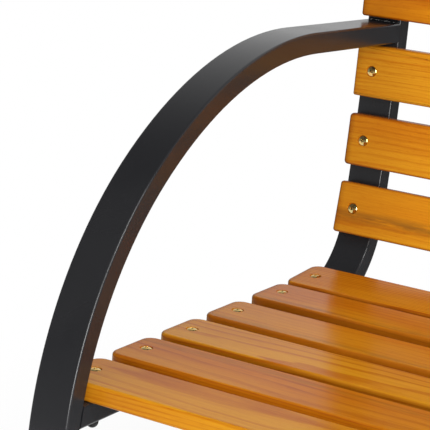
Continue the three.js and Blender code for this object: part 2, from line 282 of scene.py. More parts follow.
class BentLine:
    """A line in the YZ plane of straight runs and arcs that meet smoothly, with its headings
    counted from +Y towards +Z."""

    def __init__(self, start, heading):
        self.tip = (start.x, start.y, heading)
        self.reach = 0
        self.runs = []

    def run(self, length, turn):
        self.runs.append((self.reach, length, turn, self.tip))
        self.reach += length
        self.tip = self.at(self.reach)
        return self

    def straight(self, length):
        return self.run(length, 0)

    def bend(self, radius, turn):
        return self.run(radius * abs(turn), turn)

    def at(self, distance):
        start, length, turn, tip = [run for run in self.runs if run[0] <= distance + SAME_PLACE][-1]
        gone = distance - start
        if not turn:
            point = Vector(tip[:2]) + gone * Vector((cos(tip[2]), sin(tip[2])))
            return (*point, tip[2])
        heading = tip[2] + turn * gone / length
        centre = across(tip, length / turn)
        return (*across((*centre, heading), -length / turn), heading)

    def part(self, low, high):
        """The stretch of the line between two distances."""
        start = self.at(low)
        made = BentLine(Vector(start[:2]), start[2])
        for from_, length, turn, _ in self.runs:
            span = min(high, from_ + length) - max(low, from_)
            if span > TINY_LENGTH:
                made.run(span, turn * span / length)
        return made


def meeting(line, offset, low, high, past):
    """The place on a line where past() of its point changes sign, between two distances."""
    for _ in range(HALVINGS):
        middle = (low + high) / 2
        if past(across(line.at(middle), offset)):
            high = middle
        else:
            low = middle
    return line.at(low)


def open_edges(mesh):
    return [edge for edge in mesh.edges if edge.is_boundary]


def bar_along(line, x, width, low, high, corner):
    """A bar of rounded section, its end ring drawn out along the runs and spun round the bends."""
    mesh = bmesh.new()
    bmesh.ops.create_grid(mesh, x_segments=1, y_segments=1, size=0.5)
    bmesh.ops.scale(mesh, vec=(width, high - low, 1), verts=mesh.verts)
    bmesh.ops.translate(mesh, vec=(0, (low + high) / 2, 0), verts=mesh.verts)
    rounding = {"affect": "VERTICES", "segments": CORNER_STEPS, "profile": 0.5, "material": -1}
    bmesh.ops.bevel(mesh, geom=mesh.verts[:], offset=corner, offset_type="OFFSET", **rounding)
    y, z, heading = line.at(0)
    lay = Matrix.Translation((x, y, z)) @ Matrix.Rotation(heading + pi / 2, 4, "X")
    bmesh.ops.transform(mesh, matrix=lay, verts=mesh.verts)
    ring = mesh.edges[:]
    for _, length, turn, tip in line.runs:
        if turn:
            centre = across(tip, length / turn)
            ends = dict.fromkeys(vert for edge in ring for vert in edge.verts)
            bmesh.ops.spin(
                mesh,
                geom=[*ends, *ring],
                cent=(x, *centre),
                axis=(1, 0, 0),
                angle=turn,
                steps=max(2, round(abs(turn) / BEND_STEP)),
                use_merge=False,
                use_duplicate=False,
            )
        else:
            drawn = bmesh.ops.extrude_edge_only(mesh, edges=ring)["geom"]
            ends = [item for item in drawn if isinstance(item, bmesh.types.BMVert)]
            way = Vector((0, cos(tip[2]), sin(tip[2]))) * length
            bmesh.ops.translate(mesh, vec=way, verts=ends)
        ring = open_edges(mesh)
    bmesh.ops.holes_fill(mesh, edges=ring, sides=0)
    return mesh


def trimmed(mesh, point, normal):
    """Cuts off what lies past a plane, given in YZ, and closes the cut."""
    everything = [*mesh.verts, *mesh.edges, *mesh.faces]
    plane = {"plane_co": (0, *point), "plane_no": (0, *normal)}
    bmesh.ops.bisect_plane(mesh, geom=everything, clear_outer=True, **plane)
    bmesh.ops.holes_fill(mesh, edges=open_edges(mesh), sides=0)
    return mesh


def piece(mesh, name, finish, slot, *stands_for):
    """Makes a bench piece of a mesh that is in its place, and lets it stand for CAD nodes."""
    bmesh.ops.recalc_face_normals(mesh, faces=mesh.faces)
    data = bpy.data.meshes.new(name)
    mesh.to_mesh(data)
    mesh.free()
    data.shade_smooth()
    data.set_sharp_from_angle(angle=SHARP_ANGLE)
    data.materials.append(finish)
    made = bpy.data.objects.new(name, data)
    scene.collection.objects.link(made)
    flat = made.modifiers.new("flat_faces", "WEIGHTED_NORMAL")
    flat.keep_sharp = True
    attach(made, "root")
    if stands_for:
        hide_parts(*stands_for)
    return made


def powder_coat():
    """Satin black powder coat: a fine orange peel, with slightly duller and greyer patches."""
    material = bpy.data.materials.new("black_powder_coat")
    nw = Nodework(material)
    place = nw.node("ShaderNodeTexCoord", {}, {}, "Object")
    patch = nw.smooth(nw.noise(place, 9, 3), 0.35, 0.7)
    peel = nw.noise(place, 900, 2)
    dust = nw.smooth(nw.noise(place, 2600, 1), 0.66, 0.8)
    colour = nw.mixed(patch * 0.6 + dust * 0.35, COAT_COLOUR, COAT_WORN_COLOUR)
    bump = nw.node("ShaderNodeBump", {}, {"Strength": 0.25, "Distance": 0.0001, "Height": peel})
    shader = nw.node(
        "ShaderNodeBsdfPrincipled",
        {},
        {
            "Base Color": colour,
            "Roughness": 0.22 + patch * 0.06 + dust * 0.1,
            "Specular IOR Level": 0.5,
            "Normal": bump,
        },
    )
    nw.node("ShaderNodeOutputMaterial", {}, {"Surface": shader})
    return material


coat = powder_coat()
frame_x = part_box("arm_leg_right")[1].x - TUBE_WIDTH / 2

front_slat = Vector(
    (-SEAT_SETBACK - SLAT_TOP * sin(SEAT_TILT), SEAT_HEIGHT - SLAT_TOP * cos(SEAT_TILT))
)
rail_way = Vector((cos(SEAT_TILT), -sin(SEAT_TILT)))
rail_up = Vector((sin(SEAT_TILT), cos(SEAT_TILT)))
rail_lead = LEG_LEAD + OVERRUN
rail_start = front_slat - rail_lead * rail_way
seat_back_line = BentLine(rail_start, -SEAT_TILT).straight(rail_lead + SEAT_RUN)
seat_back_line.bend(SEAT_BEND_RADIUS, pi / 2 - LOWER_RECLINE + SEAT_TILT)
slat_step = BACK_SLAT_WIDTH + BACK_SLAT_GAP
first_back_slat = seat_back_line.reach + BACK_START
below_arm = first_back_slat + (SLATS_BELOW_ARM - 1) * slat_step + BACK_SLAT_WIDTH / 2
upright_end = below_arm + ARM_SLOT + (BACK_SLATS - SLATS_BELOW_ARM) * slat_step - BACK_SLAT_GAP
seat_back_line.bend(BACK_BEND_RADIUS, LOWER_RECLINE - UPPER_RECLINE)
seat_back_line.straight(upright_end + UPRIGHT_OVERHANG - seat_back_line.reach)

arm_place = seat_back_line.at(below_arm + (ARM_SLOT + TUBE_DEPTH) / 2)
arm_root = across(arm_place, WELD_GAP)
arm_heading = arm_place[2] + pi / 2


def arm_from(straight_length):
    return (
        BentLine(arm_root, arm_heading)
        .straight(straight_length)
        .bend(ARM_RADIUS, ARM_TURN)
        .bend(SHOULDER_RADIUS, 3 * pi / 2 - arm_heading - ARM_TURN)
    )


arm_straight = (front_slat.x - LEG_LEAD - arm_from(0).tip[0]) / cos(arm_heading)
arm_line = arm_from(arm_straight)
leg_start = arm_line.reach
arm_line.bend(LEG_RADIUS, asin(arm_line.tip[1] / LEG_RADIUS))

rocker_centre = Vector((0, ROCKER_RADIUS))
rocker_half_turn = asin((TOE_OVERHANG - arm_line.tip[0]) / ROCKER_RADIUS)
rocker_line = BentLine(
    across((*rocker_centre, -rocker_half_turn), -ROCKER_RADIUS), -rocker_half_turn
).bend(ROCKER_RADIUS, 2 * rocker_half_turn)

slat_row = [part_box(f"seat_slat_{i}") for i in (REAR_LEG_SLATS, REAR_LEG_SLATS + 1)]
gap_centre = sum((low + high for low, high in slat_row), Vector()) / 4
rear_leg_place = rail_lead + (gap_centre.yz - front_slat).dot(rail_way)
rear_leg_top = across(seat_back_line.at(rear_leg_place), -TUBE_DEPTH / 2)
rear_leg_line = BentLine(rear_leg_top, REAR_LEG_LEAN - pi / 2)
rear_leg_line.straight(rear_leg_top.y / cos(REAR_LEG_LEAN))


def in_rocker(point):
    return (point - rocker_centre).length > ROCKER_RADIUS - TUBE_DEPTH - WELD_GAP


def in_seat_space(point):
    """True behind the inner face of the arm and front leg, where the seat rail is."""
    centre = across(arm_line.at(leg_start), SHOULDER_RADIUS)
    return (point - centre).length < SHOULDER_RADIUS - TUBE_DEPTH - WELD_GAP


def below_rail(point):
    return (point - rail_start).dot(rail_up) < -TUBE_DEPTH - WELD_GAP


def side_tube(line, x):
    return bar_along(line, x, TUBE_WIDTH, 0, TUBE_DEPTH, TUBE_CORNER)


rail_end = meeting(seat_back_line, -TUBE_DEPTH / 2, 0, rail_lead, in_seat_space)
rail_end_at = across(rail_end, -TUBE_DEPTH / 2)
arm_hub = across(arm_line.at(leg_start), SHOULDER_RADIUS)
leg_foot = meeting(arm_line, TUBE_DEPTH / 2, leg_start, arm_line.reach, in_rocker)
leg_foot_at = across(leg_foot, TUBE_DEPTH / 2)
rear_foot = meeting(rear_leg_line, 0, 0, rear_leg_line.reach, in_rocker)
rear_foot_at = across(rear_foot)
rear_head = meeting(rear_leg_line, 0, 0, rear_leg_line.reach, below_rail)
rear_head_at = across(rear_head)

for side, sign in (("left", -1), ("right", 1)):
    x = sign * frame_x
    arm = trimmed(side_tube(arm_line, x), leg_foot_at, leg_foot_at - rocker_centre)
    piece(arm, f"{side}_arm_and_front_leg", coat, "powder_coat", f"arm_leg_{side}")
    rail = bar_along(seat_back_line, x, TUBE_WIDTH, -TUBE_DEPTH, 0, TUBE_CORNER)
    trimmed(rail, rail_end_at, rail_end_at - arm_hub)
    piece(rail, f"{side}_seat_rail_and_upright", coat, "powder_coat", f"seat_back_frame_{side}")
    piece(side_tube(rocker_line, x), f"{side}_rocker", coat, "powder_coat", f"rocker_{side}")
    leg = bar_along(rear_leg_line, x, TUBE_WIDTH, -TUBE_DEPTH / 2, TUBE_DEPTH / 2, TUBE_CORNER)
    trimmed(leg, rear_foot_at, rear_foot_at - rocker_centre)
    trimmed(leg, rear_head_at, rail_up)
    piece(leg, f"{side}_rear_leg", coat, "powder_coat", f"rear_leg_{side}")

# Welds
# Short fillet beads of steel across the tubes where they meet, laid dab on dab and coated over. The
# flat sides of each joint are ground flush.
BEAD_RADIUS = 0.0021
BEAD_LENGTH = 0.034
BEAD_DABS = 17
BEAD_STEPS = 4
BEAD_SIDES = 10
BEAD_END = 0.5
DAB_TAPER = 0.16
WANDER = 0.25
WANDER_STEP = 0.31
WANDER_SCALE = 3


def weld_bead(name, x, point):
    mesh = bmesh.new()
    bmesh.ops.create_circle(mesh, cap_ends=True, segments=BEAD_SIDES, radius=BEAD_RADIUS)
    bmesh.ops.rotate(mesh, cent=(0, 0, 0), matrix=Matrix.Rotation(pi / 2, 3, "Y"), verts=mesh.verts)
    middle = Vector((x, *point))
    bmesh.ops.translate(mesh, vec=middle - Vector((BEAD_LENGTH / 2, 0, 0)), verts=mesh.verts)
    count = BEAD_DABS * BEAD_STEPS
    ring = mesh.edges[:]
    size = 1
    for i in range(1, count + 1):
        drawn = bmesh.ops.extrude_edge_only(mesh, edges=ring)["geom"]
        ends = [item for item in drawn if isinstance(item, bmesh.types.BMVert)]
        ring = open_edges(mesh)
        along = Vector((BEAD_LENGTH / count, 0, 0))
        bmesh.ops.translate(mesh, vec=along, verts=ends)
        dab = i % BEAD_STEPS / BEAD_STEPS
        wander = noise.noise(Vector((i * WANDER_STEP, *point)) * WANDER_SCALE)
        wanted = (BEAD_END if i == count else 1 - DAB_TAPER * dab) * (1 + WANDER * wander)
        centre = sum((vert.co for vert in ends), Vector()) / len(ends)
        growth = wanted / size
        about = Matrix.Translation(-centre)
        bmesh.ops.scale(mesh, vec=(1, growth, growth), space=about, verts=ends)
        size = wanted
    bmesh.ops.holes_fill(mesh, edges=open_edges(mesh), sides=0)
    piece(mesh, name, coat, "powder_coat")


joints = {
    "arm_top": across(arm_line.at(0)),
    "arm_under": across(arm_line.at(0), TUBE_DEPTH),
    "rail_top": across(meeting(seat_back_line, 0, 0, rail_lead, in_seat_space)),
    "rail_under": across(
        meeting(seat_back_line, -TUBE_DEPTH, 0, rail_lead, in_seat_space), -TUBE_DEPTH
    ),
    "front_foot_toe": across(meeting(arm_line, 0, leg_start, arm_line.reach, in_rocker)),
    "front_foot_heel": across(
        meeting(arm_line, TUBE_DEPTH, leg_start, arm_line.reach, in_rocker), TUBE_DEPTH
    ),
}
for number, offset in enumerate((-TUBE_DEPTH / 2, TUBE_DEPTH / 2), 1):
    foot = meeting(rear_leg_line, offset, 0, rear_leg_line.reach, in_rocker)
    head = meeting(rear_leg_line, offset, 0, TUBE_DEPTH * 2, below_rail)
    joints[f"rear_foot_{number}"] = across(foot, offset)
    joints[f"rear_head_{number}"] = across(head, offset)
for side, sign in (("left", -1), ("right", 1)):
    for joint, point in joints.items():
        weld_bead(f"{side}_weld_{joint}", sign * frame_x, point)

# Cross tubes and middle support
# Two small rectangular steel tubes under the seat and one between the rear legs tie the side
# frames. A flat bar, bent like the seat rails, lies on the seat ones and stiffens the slats at half
# their length. Both are powder coated.
CROSS_WIDTH = 0.03
CROSS_DEPTH = 0.015
CROSS_CORNER = 0.0024
SUPPORT_THICKNESS = 0.005
SUPPORT_CORNER = 0.0008
SUPPORT_INSET = 0.006
SEAT_SLAT_WIDTH = 0.0648


def cross_tube(node, heading):
    """A tube along X whose wide faces lie along a heading."""
    low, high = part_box(node)
    mesh = bmesh.new()
    bmesh.ops.create_cube(mesh, size=1)
    bmesh.ops.scale(mesh, vec=(high.x - low.x, CROSS_WIDTH, CROSS_DEPTH), verts=mesh.verts)
    along = [edge for edge in mesh.edges if edge.verts[0].co.x * edge.verts[1].co.x < 0]
    rounding = {"affect": "EDGES", "segments": CORNER_STEPS, "profile": 0.5, "material": -1}
    bmesh.ops.bevel(mesh, geom=along, offset=CROSS_CORNER, offset_type="OFFSET", **rounding)
    lay = Matrix.Translation((low + high) / 2) @ Matrix.Rotation(heading, 4, "X")
    bmesh.ops.transform(mesh, matrix=lay, verts=mesh.verts)
    piece(mesh, f"{node}_bar", coat, "powder_coat", node)


cross_tube("cross_tube_seat_front", -SEAT_TILT)
cross_tube("cross_tube_seat_rear", -SEAT_TILT)
cross_tube("cross_tube_rear_leg", REAR_LEG_LEAN - pi / 2)

support_line = seat_back_line.part(
    rail_lead - SEAT_SLAT_WIDTH / 2 + SUPPORT_INSET, upright_end - SUPPORT_INSET
)
support = bar_along(support_line, 0, TUBE_WIDTH, -SUPPORT_THICKNESS, 0, SUPPORT_CORNER)
piece(support, "middle_support_bar", coat, "powder_coat", "middle_support")

# Slats
# Twelve boards of softwood, planed, with rounded edges and corners, and varnished a honey colour.
# The seat ones are wider. Each lies across the side frames and is drilled and countersunk at both
# ends.
FIT_GAP = 0.0003
SLAT_THICKNESS = 0.0168
SLAT_EDGE = 0.003
SLAT_EDGE_STEPS = 4
SEAT_SLAT_CORNER = 0.012
BACK_SLAT_CORNERS = (0.0032, 0.0042, 0.0022, 0.003, 0.0036, 0.003)
PLAN_CORNER_STEPS = 7
SEAT_SLAT_GAP = 0.0136
SEAT_GAP_SHARES = (1.02, 0.96, 0.98, 1.43, 0.62)
SEAT_BOLT_SHARES = (0.03, 0.02, -0.02, 0.03, 0.05, 0)
HOLE_RADIUS = 0.0034
SINK_RADIUS = 0.0061
SINK_DEPTH = 0.0035
ROUND_STEPS = 32
# Of each board: the growth rings' spacing, where their middle lies beside and below it, how strong
# they are, how much of the redder tone it has, where across it a smoky streak runs, how strong, and
# how much darker its edges are, partly pooled varnish and partly painted shade in the slat gaps.
SEAT_BOARDS = (
    (0.0036, 0.030, -0.130, 0.45, -0.12, 0, 0, 0.35),
    (0.0026, -0.030, -0.150, 0.50, 0.42, 0.022, 0.5, 0.6),
    (0.0052, -0.030, -0.070, 0.75, -0.35, 0, 0, 1.0),
    (0.0044, 0.060, -0.080, 0.25, 0.35, -0.024, 0.6, 1.1),
    (0.0044, -0.050, -0.070, 0.25, 0.50, -0.026, 0.6, 1.2),
    (0.0030, 0.070, -0.060, 0.60, 0.35, 0, 0, 1.2),
)
BACK_BOARDS = (
    (0.0110, 0.012, -0.045, 0.50, 0.0, -0.012, 1.0, 0.8),
    (0.0036, -0.055, -0.075, 0.36, 0.15, 0, 0, 1.2),
    (0.0030, 0.060, -0.070, 0.36, -0.35, 0, 0, 0.5),
    (0.0062, -0.040, -0.090, 0.50, 0.40, 0.020, 0.5, 0.9),
    (0.0045, 0.035, -0.070, 0.45, 0.0, 0, 0, 0.8),
    (0.0062, 0.020, -0.060, 0.40, 0.15, 0, 0, 0.8),
)
TAIL_SHARES = {"seat": 0.16, "back": 0.34}  # how much darker a board's ends are
TAIL_WIDTHS = 2.2
END_BAND = 0.010
SMOKE_WIDTH = 0.009
RING_WANDER = 0.03
BOARD_SHIFTS = (7.3, 3.1, 5.7)
HONEY_LIGHT = (0.70, 0.315, 0.013, 1)
HONEY_DARK = (0.50, 0.140, 0.003, 1)
RUSSET_LIGHT = (0.60, 0.190, 0.005, 1)
RUSSET_DARK = (0.38, 0.080, 0.002, 1)
SMOKE = (0.17, 0.075, 0.012, 1)
# The brown of pooled varnish, also used as painted shade on the long edges that face into the gaps
# between slats.
POOLED_VARNISH_AND_SHADE = (0.16, 0.036, 0.003, 1)


def slat_seat(place, width):
    """Where a slat's underside lies: its two lower edges rest on the seat and back line."""
    front, rear = (Vector(seat_back_line.at(place + half)[:2]) for half in (-width / 2, width / 2))
    way = rear - front
    heading = atan2(way.y, way.x)
    return (*across((*((front + rear) / 2), heading), FIT_GAP), heading)


def laid(mesh, x, seat, along=0, up=0):
    """Moves a mesh, made with its Z up from the origin, onto a seat."""
    y, z, heading = seat
    lay = Matrix.Translation((x, y, z)) @ Matrix.Rotation(heading, 4, "X")
    bmesh.ops.transform(mesh, matrix=lay @ Matrix.Translation((0, along, up)), verts=mesh.verts)
    return mesh


def carved(mesh, cutter):
    """Cuts one mesh out of another."""
    pair = []
    for part in (mesh, cutter):
        bmesh.ops.recalc_face_normals(part, faces=part.faces)
        data = bpy.data.meshes.new("cut")
        part.to_mesh(data)
        part.free()
        pair.append(bpy.data.objects.new("cut", data))
        scene.collection.objects.link(pair[-1])
    cut = pair[0].modifiers.new("cut", "BOOLEAN")
    cut.operation = "DIFFERENCE"
    cut.solver = "EXACT"
    cut.object = pair[1]
    left = bmesh.new()
    left.from_object(pair[0], bpy.context.evaluated_depsgraph_get())
    for item in pair:
        bpy.data.objects.remove(item)
    return left


def turned(profile, steps=ROUND_STEPS):
    """A body turned about Z from points of radius and height, the first and last of them on Z."""
    mesh = bmesh.new()
    points = [Vector((radius, 0, height)) for radius, height in profile]
    ends = bmesh.ops.create_vert(mesh, co=points[0])["vert"]
    for low, high in zip(points, points[1:]):
        drawn = bmesh.ops.extrude_vert_indiv(mesh, verts=ends)
        ends = drawn["verts"]
        bmesh.ops.translate(mesh, vec=high - low, verts=ends)
    bmesh.ops.spin(
        mesh,
        geom=[*mesh.verts, *mesh.edges],
        cent=(0, 0, 0),
        axis=(0, 0, 1),
        angle=2 * pi,
        steps=steps,
        use_merge=True,
        use_duplicate=False,
    )
    bmesh.ops.remove_doubles(mesh, verts=mesh.verts, dist=TINY_LENGTH)
    bmesh.ops.recalc_face_normals(mesh, faces=mesh.faces)
    return mesh


def board(length, width, corner):
    mesh = bmesh.new()
    bmesh.ops.create_cube(mesh, size=1)
    bmesh.ops.scale(mesh, vec=(length, width, SLAT_THICKNESS), verts=mesh.verts)
    rounding = {"affect": "EDGES", "profile": 0.5, "material": -1, "offset_type": "OFFSET"}
    upright = [edge for edge in mesh.edges if edge.verts[0].co.z * edge.verts[1].co.z < 0]
    bmesh.ops.bevel(mesh, geom=upright, offset=corner, segments=PLAN_CORNER_STEPS, **rounding)
    outline = [edge for edge in mesh.edges if edge.verts[0].co.z * edge.verts[1].co.z > 0]
    bmesh.ops.bevel(mesh, geom=outline, offset=SLAT_EDGE, segments=SLAT_EDGE_STEPS, **rounding)
    bmesh.ops.translate(mesh, vec=(0, 0, SLAT_THICKNESS / 2), verts=mesh.verts)
    return mesh


def varnished_wood(name, seat, width, rings, tail_share, seed):
    """Honey-coloured softwood under a glossy varnish, its growth rings cut lengthways."""
    spacing, beside, below, strength, redness, smoke_at, smoke, pooled_and_shaded = rings
    material = bpy.data.materials.new(name)
    nw = Nodework(material)
    place = nw.node("ShaderNodeTexCoord", {}, {}, "Object")
    turn = {"Vector": place, "Location": (0, seat[0], seat[1]), "Rotation": (seat[2], 0, 0)}
    local = nw.node("ShaderNodeMapping", {"vector_type": "TEXTURE"}, turn)

    def stretched(x, y, z):
        stretch = {0: local, 1: (x, y, z)}
        scaled = nw.node("ShaderNodeVectorMath", {"operation": "MULTIPLY"}, stretch)
        shift = tuple(seed * step for step in BOARD_SHIFTS)
        return nw.node("ShaderNodeVectorMath", {"operation": "ADD"}, {0: scaled, 1: shift})

    parts = nw.tree.nodes.new("ShaderNodeSeparateXYZ")
    nw.tree.links.new(local.socket, parts.inputs[0])
    x, y, z = (Wire(nw, parts.outputs[i]) for i in range(3))
    wander = nw.noise(stretched(2.2, 3, 3), 1, 2) - 0.5
    sway = nw.noise(stretched(1.3, 5, 5), 1, 1) - 0.5
    aside = y - beside + wander * RING_WANDER
    under = z - below + sway * RING_WANDER
    ripple = (nw.noise(stretched(12, 60, 60), 1, 2) - 0.5) * 0.7
    count = (aside * aside + under * under) ** 0.5 / spacing + ripple
    phase = count.math("FRACT", count)
    late = nw.smooth(phase, 0.5, 0.86) * (1 - nw.smooth(phase, 0.9, 1))
    vary = nw.noise(stretched(1.5, 45, 45), 1, 2)
    fibre = nw.noise(stretched(30, 1100, 1100), 1, 3, 0.7)
    streak = nw.noise(stretched(2.5, 110, 110), 1, 4, 0.65)
    line = nw.smooth(nw.noise(stretched(6, 420, 420), 1, 2), 0.5, 0.75)
    dash = nw.smooth(nw.noise(stretched(130, 900, 900), 1, 2), 0.56, 0.7)
    shade = late * strength * (vary + 0.45) + (streak - 0.5) * 0.9 + (fibre - 0.5) * 1.1
    shade = shade + line * 0.2 + dash * 0.22 + 0.17
    honey = nw.mixed(shade.clamped(), HONEY_LIGHT, HONEY_DARK)
    russet = nw.mixed(shade.clamped(), RUSSET_LIGHT, RUSSET_DARK)
    blotch = nw.smooth(nw.noise(stretched(5, 22, 22), 1, 2), 0.3, 0.7) - 0.3
    edge = nw.smooth(abs(y), width / 2 - SLAT_EDGE, width / 2)
    lean = nw.smooth(y, -width / 2, width / 2) * 0.45
    # The long edges turn redder, partly from pooled varnish and partly as painted shade where they
    # face into the gaps between slats.
    red = redness + lean + blotch * 0.5 + edge * pooled_and_shaded * 0.9
    colour = nw.mixed(red.clamped(), honey, russet)
    end_at = frame_x + TUBE_WIDTH / 2
    if smoke:
        drift = abs(y - smoke_at + wander * RING_WANDER) / SMOKE_WIDTH
        veil = nw.smooth(nw.noise(stretched(24, 220, 220), 1, 4, 0.7), 0.3, 0.6)
        colour = nw.mixed((1 - drift).clamped() * veil * smoke * 0.75, colour, SMOKE)
    # Darker ends and long edges: the long edges partly from pooled varnish and partly as painted
    # shade in the gaps between slats. The same per-board share also deepens the band at the ends.
    tail = nw.smooth(abs(x), end_at - width * TAIL_WIDTHS, end_at) * tail_share
    end = nw.smooth(abs(x), end_at - END_BAND, end_at) * (0.2 + streak * 0.4) * pooled_and_shaded
    rim = edge * vary * pooled_and_shaded * 0.8
    colour = nw.mixed((tail + end + rim).clamped(), colour, POOLED_VARNISH_AND_SHADE)
    relief = fibre * 0.6 + late * 0.4
    bump = nw.node("ShaderNodeBump", {}, {"Strength": 0.1, "Distance": 0.0002, "Height": relief})
    waves = nw.noise(stretched(20, 60, 60), 1, 2)
    inputs = {"Base Color": colour, "Roughness": 0.17 + waves * 0.08, "IOR": 1.18, "Normal": bump}
    shader = nw.node("ShaderNodeBsdfPrincipled", {}, inputs)
    nw.node("ShaderNodeOutputMaterial", {}, {"Surface": shader})
    return material


seat_places = [rail_lead]
for share in SEAT_GAP_SHARES:
    seat_places.append(seat_places[-1] + SEAT_SLAT_WIDTH + SEAT_SLAT_GAP * share)
back_places = [first_back_slat + i * slat_step for i in range(BACK_SLATS)]
for i in range(SLATS_BELOW_ARM, BACK_SLATS):
    back_places[i] += ARM_SLOT - BACK_SLAT_GAP
seat_corners = [SEAT_SLAT_CORNER] * len(SEAT_BOARDS)
slat_rows = (
    ("seat", seat_places, SEAT_SLAT_WIDTH, seat_corners, SEAT_BOARDS, SEAT_BOLT_SHARES),
    ("back", back_places, BACK_SLAT_WIDTH, BACK_SLAT_CORNERS, BACK_BOARDS, [0] * BACK_SLATS),
)
slat_length = 2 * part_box("seat_slat_1")[1].x
bolt_seats = {}
for kind, places, width, corners, boards, shares in slat_rows:
    for i, (place, corner, rings, share) in enumerate(zip(places, corners, boards, shares), 1):
        seat = slat_seat(place, width)
        mesh = board(slat_length, width, corner)
        for sign in (-1, 1):
            hole = turned(
                [
                    (0, -SLAT_THICKNESS),
                    (HOLE_RADIUS, -SLAT_THICKNESS),
                    (HOLE_RADIUS, SLAT_THICKNESS - SINK_DEPTH),
                    (SINK_RADIUS, SLAT_THICKNESS - SINK_DEPTH / 4),
                    (SINK_RADIUS, 2 * SLAT_THICKNESS),
                    (0, 2 * SLAT_THICKNESS),
                ]
            )
            bmesh.ops.translate(hole, vec=(sign * frame_x, width * share, 0), verts=hole.verts)
            mesh = carved(mesh, hole)
        label = f"varnished_wood_{kind}_{i}"
        wood = varnished_wood(label, seat, width, rings, TAIL_SHARES[kind], len(bolt_seats) + 1)
        node = f"{kind}_slat_{i}"
        piece(laid(mesh, 0, seat), f"{node}_board", wood, "varnished_wood", node)
        bolt_seats[f"{kind}_{i}"] = (place, seat, width * share)

# Slat bolts and cap nuts
# One yellow zinc plated countersunk bolt with a raised head and a cross recess goes through each
# slat end and the tube behind it, into a black domed cap nut of moulded plastic.
HEAD_RADIUS = 0.0056
HEAD_DOME = 0.0019
HEAD_RIM = 0.0003
SHANK_RADIUS = 0.003
HEAD_SINK = 0.0010
CROSS_SLOT = (0.0062, 0.0017)
CROSS_SLOT_DEPTH = 0.0024
CROSS_SLOT_TAPER = 0.35
CAP_NUT_RADIUS = 0.0058
CAP_NUT_COLLAR = 0.010
CAP_NUT_DOME = 0.0055
CAP_NUT_EDGE = 0.0006
CAP_NUT_EDGE_STEPS = 3
HEAD_TURN_STEP = 90
DOME_STEPS = 8
ZINC_YELLOW = (0.86, 0.56, 0.18, 1)
ZINC_GREEN = (0.52, 0.55, 0.28, 1)
ZINC_DULL = (0.18, 0.14, 0.06, 1)
PLASTIC_COLOUR = (0.008, 0.008, 0.009, 1)
PLASTIC_SCUFF_COLOUR = (0.016, 0.016, 0.0175, 1)


def yellow_zinc():
    """Yellow passivated zinc: its tint wanders between gold and green, and it dulls in spots."""
    material = bpy.data.materials.new("zinc_plating")
    nw = Nodework(material)
    place = nw.node("ShaderNodeTexCoord", {}, {}, "Object")
    tint = nw.smooth(nw.noise(place, 260, 2), 0.35, 0.65)
    spots = nw.smooth(nw.noise(place, 1400, 3), 0.55, 0.8)
    colour = nw.mixed(spots * 0.6, nw.mixed(tint * 0.6, ZINC_YELLOW, ZINC_GREEN), ZINC_DULL)
    inputs = {"Base Color": colour, "Metallic": 1.0, "Roughness": 0.09 + spots * 0.12 + tint * 0.03}
    shader = nw.node("ShaderNodeBsdfPrincipled", {}, inputs)
    nw.node("ShaderNodeOutputMaterial", {}, {"Surface": shader})
    return material


def black_plastic():
    """Moulded black polyethylene with a fine grain and a few scuffs."""
    material = bpy.data.materials.new("black_polyethylene")
    nw = Nodework(material)
    place = nw.node("ShaderNodeTexCoord", {}, {}, "Object")
    grain = nw.noise(place, 1800, 2)
    scuff = nw.smooth(nw.noise(place, 160, 4, 0.65), 0.55, 0.75)
    colour = nw.mixed(scuff, PLASTIC_COLOUR, PLASTIC_SCUFF_COLOUR)
    bump = nw.node("ShaderNodeBump", {}, {"Strength": 0.2, "Distance": 0.00008, "Height": grain})
    inputs = {"Base Color": colour, "Roughness": 0.28 + scuff * 0.15, "Normal": bump}
    inputs["Specular IOR Level"] = 0.3
    shader = nw.node("ShaderNodeBsdfPrincipled", {}, inputs)
    nw.node("ShaderNodeOutputMaterial", {}, {"Surface": shader})
    return material


def dome(radius, height, low):
    """The profile of a dome that starts at a height on its rim and ends on Z."""
    turns = [pi / 2 * i / DOME_STEPS for i in range(DOME_STEPS)]
    return [(radius * cos(t), low + height * sin(t)) for t in turns] + [(0, low + height)]


def cap(radius, height, low):
    """The profile of a cap cut off a ball, from its rim at a height up to Z."""
    ball = (radius**2 + height**2) / (2 * height)
    top = low + height
    turns = [asin(radius / ball) * i / DOME_STEPS for i in range(DOME_STEPS, 0, -1)]
    return [(ball * sin(t), top - ball * (1 - cos(t))) for t in turns] + [(0, top)]


def tapered_slot(length, width, depth, top, turn):
    mesh = bmesh.new()
    bmesh.ops.create_cube(mesh, size=1)
    bmesh.ops.scale(mesh, vec=(length, width, 2 * depth), verts=mesh.verts)
    foot = [vert for vert in mesh.verts if vert.co.z < 0]
    bmesh.ops.scale(mesh, vec=(CROSS_SLOT_TAPER, CROSS_SLOT_TAPER, 1), verts=foot)
    matrix = Matrix.Translation((0, 0, top)) @ Matrix.Rotation(turn, 4, "Z")
    bmesh.ops.transform(mesh, matrix=matrix, verts=mesh.verts)
    return mesh


def slat_bolt():
    """A bolt whose shank ends at the slat's underside, which is at height zero."""
    rim = SLAT_THICKNESS - HEAD_SINK
    shank_top = rim - HEAD_RADIUS + SHANK_RADIUS - HEAD_RIM
    profile = [
        (0, 0),
        (SHANK_RADIUS, 0),
        (SHANK_RADIUS, shank_top),
        (HEAD_RADIUS, rim - HEAD_RIM),
        *cap(HEAD_RADIUS, HEAD_DOME, rim),
    ]
    mesh = turned(profile)
    for turn in (0, pi / 2):
        top = rim + HEAD_DOME
        mesh = carved(mesh, tapered_slot(*CROSS_SLOT, CROSS_SLOT_DEPTH, top, turn))
    return mesh


